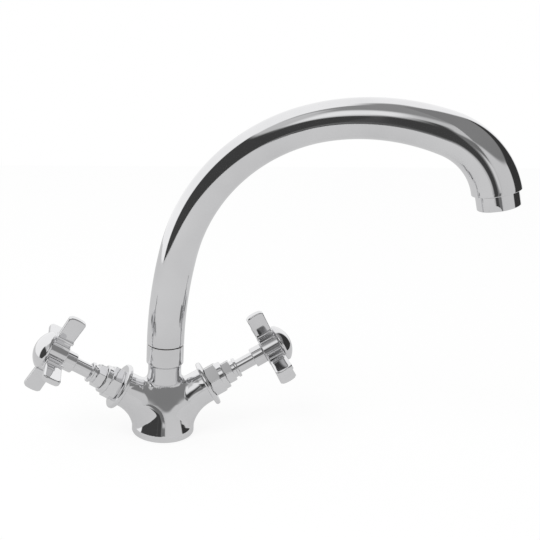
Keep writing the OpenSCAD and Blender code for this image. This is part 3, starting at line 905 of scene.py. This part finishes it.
    def _polished(self, piece: Piece) -> Piece:
        """Gives the skin the true normals of its form, and leaves the cuts and bores as they are.

        Args:
            piece: The drilled casting.

        Returns:
            The casting.
        """
        mesh = piece.data
        read = []
        for items, what, width in ((mesh.vertices, "co", 3), (mesh.corner_normals, "vector", 3),
                                   (mesh.polygons, "normal", 3), (mesh.loops, "vertex_index", 1),
                                   (mesh.polygons, "loop_total", 1)):
            values = np.empty(len(items) * width, dtype=float if width == 3 else np.int32)
            items.foreach_get(what, values)
            read.append(values.reshape(-1, 3) if width == 3 else values)
        points, normals, flats, index, totals = read
        points, flats = points / MM, np.repeat(flats, totals, axis=0)
        slope = self.slope(points)
        slope /= np.maximum(np.linalg.norm(slope, axis=1), 1e-9)[:, None]
        on_skin = (np.abs(self.distance(points)) < 0.05)[index] & ((flats * slope[index]).sum(axis=1) > 0.85)
        mesh.normals_split_custom_set(np.where(on_skin[:, None], slope[index], normals).tolist())
        return piece


@dataclass
class CrossHandle:
    """One cross handle with its dome cap, in distances along its arm."""

    places: Placement
    side: Side
    floor: float = 88.08
    hub_r: float = 11.5
    hub_l: float = 14.0
    hub_soft: float = 0.8
    root_from: float = 1.0
    root_r: float = 12.6
    root_w: float = 13.4
    root_t: float = 10.4
    root_soft: float = 0.8
    groove_l: float = 2.4
    groove_w: float = 11.0
    groove_t: float = 6.1
    groove_soft: float = 0.6
    band_l: float = 2.4
    band_t: float = 8.2
    band_soft: float = 0.7
    reach_r: float = 35.8
    blade_from: float = 10.6
    blade_root_w: float = 12.6
    blade_tip_w: float = 13.6
    blade_t: float = 4.9
    blade_swell: float = 0.3
    blade_end_r: float = 21.0
    blade_soft: float = 1.2
    # How far the blade's end draws in at its corners, and where that starts across it
    corner_in: float = 1.1
    corner_from: float = 0.7
    cap_r: float = 14.3
    cap_h: float = 8.8
    cap_rim: float = 2.0
    cap_edge: float = 0.4
    cap_soft: float = 1.6

    @property
    def middle(self) -> float:
        """Distance of the handle's middle plane along the arm."""
        return self.floor + self.hub_l / 2

    def _blade(self) -> Shape:
        """One paddle along +X: flared, slightly pillowed, with rounded edges and a domed end.

        Returns:
            The paddle.
        """
        bm = bmesh.new()
        start = self.blade_from
        bmesh.ops.create_grid(bm, x_segments=10, y_segments=8, size=0.5)
        lifted = bmesh.ops.extrude_face_region(bm, geom=bm.faces[:])
        top = {v for v in lifted["geom"] if isinstance(v, bmesh.types.BMVert)}
        for vert in bm.verts:
            along, across = vert.co.x + 0.5, vert.co.y
            y = across * (self.blade_root_w + (self.blade_tip_w - self.blade_root_w) * along)
            corner = max(0.0, abs(across) * 2 - self.corner_from) / (1 - self.corner_from)
            end = self.reach_r - self.blade_end_r + math.sqrt(self.blade_end_r ** 2 - y * y)
            end -= self.corner_in * corner ** 2
            face = self.blade_t / 2 + self.blade_swell * (1 - 4 * across * across) * (1 - along ** 4)
            vert.co = Vector((start + (end - start) * along, y, face if vert in top else -face))
        bmesh.ops.recalc_face_normals(bm, faces=bm.faces)
        Shop.soften(bm, self.blade_soft, 60.0, 5)
        bmesh.ops.transform(bm, matrix=moved(0, 0, self.middle) @ turned(90, "X"), verts=bm.verts)
        return bm

    def _arm(self) -> Shape:
        """One arm along +X: root block, groove, band and paddle.

        Returns:
            The arm.
        """
        bm = self._blade()
        band = self.root_r + self.groove_l
        for start, end, thick, width, soft in (
                (self.root_from, self.root_r, self.root_t, self.root_w, self.root_soft),
                (self.root_from, band + 0.3, self.groove_t, self.groove_w, self.groove_soft),
                (band, band + self.band_l, self.band_t, self.root_w, self.band_soft)):
            centre = Vector(((start + end) / 2, 0, self.middle))
            Shop.block(bm, Vector((end - start, thick, width)), centre, soft)
        return bm

    def build(self) -> Piece:
        """Hub and four arms, fused.

        Returns:
            The cross.
        """
        top = self.floor + self.hub_l
        name, place = self.side.prefix + "cross", self.places.handle(self.side)
        hub = Shop.spun(((0, self.floor), (self.hub_r, self.floor), (self.hub_r, top), (0, top)))
        Shop.soften(hub, self.hub_soft, 50.0, 4)
        arms = bmesh.new()
        for k in range(4):
            arm = self._arm()
            bmesh.ops.transform(arm, matrix=turned(90 * k, "Z"), verts=arm.verts)
            Shop.join(arms, arm)
        hub_piece, arms_piece = Shop.piece(hub, name, place), Shop.piece(arms, name + "_arms", place)
        return Shop.evened(Shop.combined(hub_piece, arms_piece, Fuse.JOIN, 38.0))

    def build_cap(self) -> Piece:
        """The dome cap: a flattened dome over a short rim, rounded where they meet.

        Returns:
            The cap.
        """
        base, r, h = self.floor + self.hub_l, self.cap_r, self.cap_h - self.cap_rim
        rim = base + self.cap_rim
        ball = (r * r + h * h) / (2 * h)
        outline = [(0.0, base), (r - self.cap_edge, base), (r, base + self.cap_edge), (r, rim)]
        outline += [(ball * math.sin(a), rim + h - ball + ball * math.cos(a))
                    for a in np.linspace(math.asin(r / ball), 0.0, 25)[1:]]
        bm = Shop.spun(outline)
        Shop.rounded(bm, [e for e in bm.edges if all(abs(v.co.z - rim) < 1e-3 for v in e.verts)],
                     self.cap_soft, 6)
        return Shop.piece(bm, self.side.prefix + "dome", self.places.handle(self.side), 60.0)


@dataclass
class ValveTrim:
    """The outer pieces of one valve, in distances along its arm: trim ring, headwork, gland nut and ferrule."""

    places: Placement
    side: Side
    land: float = 37.28
    ring_r: float = 17.8
    ring_t: float = 3.6
    ring_soft: float = 1.4
    thread_r: float = 10.15
    nose_r: float = 9.4
    nose_l: float = 9.0
    barrel_l: float = 14.7
    chamber_r: float = 8.35
    chamber_l: float = 8.0
    stop_r: float = 7.0
    stop_l: float = 4.5
    stop_depth: float = 6.0
    socket_r: float = 7.95
    hex_across: float = 22.6
    hex_l: float = 9.2
    hex_bore: float = 9.2
    shoulder_r: float = 10.8
    shoulder_l: float = 4.0
    shoulder_bore: float = 8.6
    gland_across: float = 16.4
    gland_l: float = 6.5
    gland_depth: float = 5.0
    neck_r: float = 6.7
    neck_l: float = 2.4
    flange_r: float = 7.8
    flange_t: float = 2.4
    rim_soft: float = 0.8
    bore_r: float = 5.35
    stem_seen: float = 13.5
    ferrule_r: float = 7.6
    ferrule_l: float = 9.2
    ferrule_soft: float = 0.7

    def __post_init__(self) -> None:
        """Adds up the heights of the stack."""
        self.place = self.places.arm(self.side)
        self.hex_turn = 0.0 if self.side is Side.LEFT else 10.0
        self.ring_top = self.land + self.ring_t
        self.hex_top = self.ring_top + self.hex_l
        self.shoulder_top = self.hex_top + self.shoulder_l
        self.gland_top = self.shoulder_top + self.gland_l
        self.flange_low = self.gland_top + self.neck_l
        self.flange_top = self.flange_low + self.flange_t

    def build_ring(self) -> Piece:
        """The trim ring at the arm's end."""
        bm = Shop.washer(self.ring_r, self.thread_r + 0.1, self.land, self.ring_top, self.ring_soft)
        return Shop.evened(Shop.piece(bm, self.side.prefix + "trim_ring", self.place))

    def build_headwork(self) -> Piece:
        """Barrel, large hexagon and shoulder, hollow for the discs, the stop and the gland.

        Returns:
            The headwork.
        """
        name = self.side.prefix + "valve_head"
        nose, stop, mouth = self.land - self.barrel_l, self.hex_top - self.stop_depth, self.shoulder_top - 0.4
        thread, chamber, stop_top = nose + self.nose_l, nose + self.chamber_l, stop + self.stop_l
        core = Shop.spun((
            (self.chamber_r, nose), (self.nose_r, nose), (self.nose_r, thread), (self.thread_r, thread + 0.5),
            (self.thread_r, self.hex_top), (self.thread_r - 0.8, mouth), (self.socket_r, mouth),
            (self.socket_r, stop_top), (self.stop_r, stop_top), (self.stop_r, stop), (self.bore_r, stop),
            (self.bore_r, chamber), (self.chamber_r, chamber)))
        Shop.join(core, Shop.washer(self.shoulder_r, self.shoulder_bore, self.hex_top - 1, self.shoulder_top,
                                    self.rim_soft))
        head = Shop.nut(self.hex_across, self.ring_top, self.hex_top, self.hex_bore, self.hex_turn, self.place,
                        name)
        return Shop.evened(Shop.combined(head, Shop.piece(core, name + "_core", self.place), Fuse.JOIN))

    def build_gland(self) -> Piece:
        """Gland nut: small hexagon, neck and flange.

        Returns:
            The nut.
        """
        name = self.side.prefix + "gland"
        low = self.shoulder_top - self.gland_depth
        bm = Shop.washer(self.neck_r, self.bore_r, low, self.flange_low + 1, 0.1)
        Shop.join(bm, Shop.washer(self.flange_r, self.bore_r + 0.6, self.flange_low, self.flange_top,
                                  self.rim_soft))
        nut = Shop.nut(self.gland_across, self.shoulder_top, self.gland_top, self.bore_r + 0.8, self.hex_turn,
                       self.place, name)
        return Shop.evened(Shop.combined(nut, Shop.piece(bm, name + "_neck", self.place), Fuse.JOIN))

    def build_ferrule(self) -> Piece:
        """The ferrule between spindle and handle.

        Returns:
            The ferrule.
        """
        low = self.flange_top + self.stem_seen
        bm = Shop.washer(self.ferrule_r, self.bore_r, low, low + self.ferrule_l, self.ferrule_soft)
        return Shop.evened(Shop.piece(bm, self.side.prefix + "sleeve", self.place))


@dataclass
class SpoutFittings:
    """The collar under the swivel seam and the aerator's housing at the outlet."""

    outlet: Matrix
    tube_r: float = 14.0
    collar_low: float = 56.0
    collar_top: float = 72.1
    collar_bore: float = 11.65
    chamfer: float = 1.5
    lip_r: float = 10.6
    lip_l: float = 2.7
    seam: float = 0.2
    thread_r: float = 13.85
    thread_l: float = 4.1
    housing_r: float = 15.4
    housing_l: float = 10.7
    housing_bore: float = 12.55
    mouth_r: float = 11.35
    mouth_l: float = 1.0
    key_r: float = 4.6
    key_depth: float = 0.9
    key_turn: float = 10.0
    key_reach: float = 3.0

    def build_collar(self) -> Piece:
        """The collar: a plain sleeve with a chamfer below and an inward lip above.

        Returns:
            The collar.
        """
        low, top, bore, outer = self.collar_low, self.collar_top, self.collar_bore, self.tube_r
        bm = Shop.spun(((bore, low), (outer - self.chamfer, low), (outer, low + self.chamfer), (outer, top),
                        (self.lip_r, top), (self.lip_r, top - self.lip_l), (bore, top - self.lip_l)))
        Shop.soften(bm, 0.3)
        return Shop.evened(Shop.piece(bm, "collar"))

    def build_housing(self) -> Piece:
        """The aerator's housing, with a threaded end inside the outlet and two flats for its key.

        Returns:
            The housing.
        """
        start, seam, end = -self.thread_l, self.seam, self.housing_l + self.seam
        mouth, bore = end - self.mouth_l, self.housing_bore
        bm = Shop.spun(((bore, start), (self.thread_r, start), (self.thread_r, seam), (self.housing_r, seam),
                        (self.housing_r, end), (self.mouth_r, end), (self.mouth_r, mouth), (bore, mouth)))
        Shop.soften(bm, 0.5, 50.0, 4)
        keys = bmesh.new()
        for turn in (90.0, 270.0):
            place = turned(turn + self.key_turn, "Z") @ moved(self.housing_r - self.key_depth, 0, end)
            Shop.rod(keys, self.key_r, 0.0, self.key_reach, place @ turned(90, "Y"), sides=48)
        housing, cuts = Shop.piece(bm, "aerator_shell", self.outlet), Shop.piece(keys, "key_cuts", self.outlet)
        return Shop.evened(Shop.combined(housing, cuts, Fuse.CUT))


@dataclass(frozen=True)
class Card:
    """A reflected card: azimuths from +Y, heights, slope of its top edge, softness in degrees, and tone."""

    left: float
    right: float
    low: float
    high: float
    slope: float
    soft: float
    tone: float


class Studio:
    """Camera, floor, light and surroundings."""

    focal: float = 1200.0
    picture: float = 540.0
    sensor: float = 36.0
    spot: Vector = Vector((-124.25, -839.64, 403.97)) * MM
    yaw: float = 0.236
    pitch: float = -0.308
    roll: float = 0.059
    room_tone: float = 0.6
    room_light: float = 0.75
    cards: tuple[Card, ...] = (
        Card(-200.0, 200.0, 52.0, 200.0, 0.0, 6.0, 0.3),
        Card(46.0, 200.0, 24.0, 200.0, 0.0, 5.0, 0.24),
        Card(-91.0, 50.0, -100.0, 78.0, 0.0, 5.0, 1.03),
        Card(-152.0, -86.0, -12.0, 20.0, 0.3, 2.5, 0.055),
        Card(52.0, 113.0, -70.0, 49.0, -0.4, 3.0, 0.04),
        Card(113.0, 176.0, -70.0, 24.0, 0.0, 3.0, 0.66),
        Card(-200.0, -166.0, -70.0, 24.0, 0.0, 4.0, 0.18),
        Card(-200.0, -170.0, -5.0, 8.0, 0.0, 3.0, 0.7),
        Card(-167.0, -150.0, -70.0, 36.0, 0.0, 3.0, 0.055),
        Card(-158.0, -128.0, 27.0, 50.0, 0.0, 6.0, 0.95),
        Card(-117.0, -98.0, 42.0, 60.0, 0.0, 5.0, 0.62),
    )
    # Corners of the table in millimetres; the white surroundings begin past its edge
    table: tuple[tuple[float, float], ...] = ((-850, -900), (-450, -900), (0, -430), (900, -430), (900, 900),
                                              (-850, 900))
    # The table's own tone for each kind of ray, and its share beside the lit paint
    table_glow: tuple[tuple[str, float, float], ...] = (
        ("Is Glossy Ray", 0.64, 0.75), ("Is Transmission Ray", 1.0, 0.8), ("Is Camera Ray", 1.04, 0.82))
    lamp_spot: Vector = Vector((-0.7, -0.5, 1.3))
    lamp_aim: Vector = Vector((0.05, 0, 0.12))
    lamp_size: tuple[float, float] = (0.9, 0.7)
    lamp_power: float = 6.0

    def camera(self) -> None:
        """Places the camera as the photograph was taken."""
        yaw, pitch, roll = self.yaw, self.pitch, self.roll
        ahead = Vector((math.sin(yaw) * math.cos(pitch), math.cos(yaw) * math.cos(pitch), math.sin(pitch)))
        right = Vector((math.cos(yaw), -math.sin(yaw), 0))
        up = right.cross(ahead)
        across = math.cos(roll) * right + math.sin(roll) * up
        above = -math.sin(roll) * right + math.cos(roll) * up
        data = bpy.data.cameras.new("camera")
        data.sensor_width = self.sensor
        data.lens = self.focal * self.sensor / self.picture
        data.clip_start = 0.01
        camera = Shop.placed("camera", data)
        camera.matrix_world = moved(*self.spot) @ Matrix((across, above, -ahead)).transposed().to_4x4()
        bpy.context.scene.camera = camera

    def floor(self) -> None:
        """A plain pale table that keeps a faint shadow of the tap."""
        bm = bmesh.new()
        bmesh.ops.contextual_create(bm, geom=[bm.verts.new((x * MM, y * MM, 0.0)) for x, y in self.table])
        bmesh.ops.triangulate(bm, faces=bm.faces)
        bmesh.ops.recalc_face_normals(bm, faces=bm.faces)
        floor = Shop.poured(bm, "floor")
        material = bpy.data.materials.new("pale floor")
        graph = Graph.cleared(material)
        paint = graph.add("BsdfDiffuse", {"Color": (0.9, 0.9, 0.9, 1.0)})
        ray, shader = graph.add("LightPath").outputs, paint
        for who, strength, share in self.table_glow:
            glow = graph.add("Emission", {"Strength": strength})
            lit = graph.add("MixShader", {0: share, 1: paint, 2: glow})
            shader = graph.add("MixShader", {0: ray[who], 1: shader, 2: lit})
        graph.add("OutputMaterial", {"Surface": shader})
        floor.data.materials.append(material)

    @staticmethod
    def _card_group() -> bpy.types.NodeTree:
        """One reflected card: a patch of sky between two azimuths and heights, laid over what is behind it.

        Returns:
            The group.
        """
        labels = ("Azimuth", "Height", "Behind", *(part.name.title() for part in fields(Card)))
        graph = Graph.group("reflected card", dict.fromkeys(labels, 0.0), "Tone")
        given, total = graph.given, graph.sum
        azimuth, height, left, behind = (given[label] for label in ("Azimuth", "Height", "Left", "Behind"))
        top = total("ADD", given["High"], total("MULTIPLY", total("SUBTRACT", azimuth, left), given["Slope"]))
        soft = {"From Min": total("MULTIPLY", given["Soft"], -1.0), "From Max": given["Soft"]}
        mask: Socket | None = None
        for upper, lower in ((azimuth, left), (given["Right"], azimuth), (height, given["Low"]), (top, height)):
            edge = graph.add("MapRange", {"Value": total("SUBTRACT", upper, lower), **soft},
                             interpolation_type="SMOOTHSTEP").outputs[0]
            mask = edge if mask is None else total("MULTIPLY", mask, edge)
        change = total("SUBTRACT", given["Tone"], behind)
        return graph.ended(total("ADD", behind, total("MULTIPLY", mask, change)))

    def _room(self, graph: Graph) -> Socket:
        """What polished metal sees round it: a pale cove behind, dark flags at both sides, a grey ceiling.

        Args:
            graph: The world's graph.

        Returns:
            The tone in the direction looked at.
        """
        split = graph.add("SeparateXYZ", {0: graph.add("TexCoord").outputs["Generated"]}).outputs
        azimuth = graph.sum("DEGREES", graph.sum("ARCTAN2", split["X"], split["Y"]))
        height = graph.sum("DEGREES", graph.sum("ARCSINE", split["Z"]))
        group = self._card_group()
        tone: Socket | float = self.room_tone
        for card in self.cards:
            feeds = {"Azimuth": azimuth, "Height": height, "Behind": tone}
            feeds |= {label.title(): value for label, value in asdict(card).items()}
            tone = graph.add("Group", feeds, node_tree=group).outputs["Tone"]
        return tone

    def world(self) -> None:
        """White surroundings for the eye, plain light for the rest, and the cards for polished metal."""
        world = bpy.data.worlds.new("studio")
        bpy.context.scene.world = world
        graph = Graph.cleared(world)
        ray, plain = graph.add("LightPath").outputs, (1.0, 1.0, 1.0, 1.0)
        light = graph.add("Background", {"Color": plain, "Strength": self.room_light})
        white = graph.add("Background", {"Color": plain})
        room = graph.add("Background", {"Color": self._room(graph)})
        through = graph.sum("MAXIMUM", ray["Is Glossy Ray"], ray["Is Transmission Ray"])
        gloss = graph.add("MixShader", {0: through, 1: light, 2: room})
        eye = graph.add("MixShader", {0: ray["Is Camera Ray"], 1: gloss, 2: white})
        graph.add("OutputWorld", {"Surface": eye})

    def lamp(self) -> None:
        """One large soft lamp, high on the left."""
        data = bpy.data.lights.new("soft box", "AREA")
        data.shape = "RECTANGLE"
        data.size, data.size_y = self.lamp_size
        data.energy = self.lamp_power
        lamp = Shop.placed("soft box", data)
        lamp.location = self.lamp_spot
        lamp.rotation_euler = (self.lamp_aim - self.lamp_spot).to_track_quat("-Z", "Y").to_euler()
        lamp.visible_glossy = False



@dataclass
class KitchenTap:
    """The whole tap: its shaped pieces and the finish of every CAD node."""

    frame: dict
    finishes: Finishes
    places: Placement = field(default_factory=Placement)

    def seat(self, piece: Piece, body: str, slot: str, nodes: Iterable[str]) -> None:
        """Dresses a new piece and hands it to the frame.

        Args:
            piece: The new piece.
            body: The CAD body that carries it.
            slot: The record's material slot of its finish.
            nodes: CAD nodes that it stands for.
        """
        self.finishes.dress(piece, slot)
        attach(piece, body)
        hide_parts(*nodes)
        LOG.info("%s: %d faces, %d open edges, rides on %s", piece.name, len(piece.data.polygons),
                 Shop.open_edges(piece), body)

    def build(self) -> None:
        """Builds every shaped piece, then dresses what stays of the CAD model."""
        tube = SpoutTube(self.places)
        fittings = SpoutFittings(tube.outlet())
        self.seat(tube.build(), "spout", "chrome", ["spout_tube"])
        self.seat(fittings.build_housing(), "spout", "chrome", ["aerator_housing"])
        self.seat(fittings.build_collar(), "body", "chrome", ["swivel_collar"])
        self.seat(BodyCasting(self.places).build(), "body", "chrome", ["body_casting"])
        for side in Side:
            valve, handle = ValveTrim(self.places, side), CrossHandle(self.places, side)
            turns = side.prefix + "handle"
            for piece, body, node in ((valve.build_ring(), "body", "valve_ring"),
                                      (valve.build_headwork(), "body", "headwork"),
                                      (valve.build_gland(), "body", "gland_nut"),
                                      (valve.build_ferrule(), turns, "ferrule"),
                                      (handle.build(), turns, "cross_handle"),
                                      (handle.build_cap(), turns, "dome_cap")):
                self.seat(piece, body, "chrome", [side.prefix + node])
        slots = {part["node"]: part["material_slot"] for part in self.frame["record"]["subparts"]}
        for name, node in self.frame["nodes"].items():
            self.finishes.dress(node, slots[name])
        LOG.info("%d CAD nodes dressed", len(slots))


def main() -> None:
    """Builds the tap and its studio."""
    logging.basicConfig(level=logging.INFO, format="%(name)s: %(message)s")
    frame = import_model()
    bpy.context.scene.view_settings.view_transform = "Standard"
    KitchenTap(frame, Finishes()).build()
    studio = Studio()
    studio.camera()
    studio.floor()
    studio.world()
    studio.lamp()


if __name__ == "__main__":
    main()
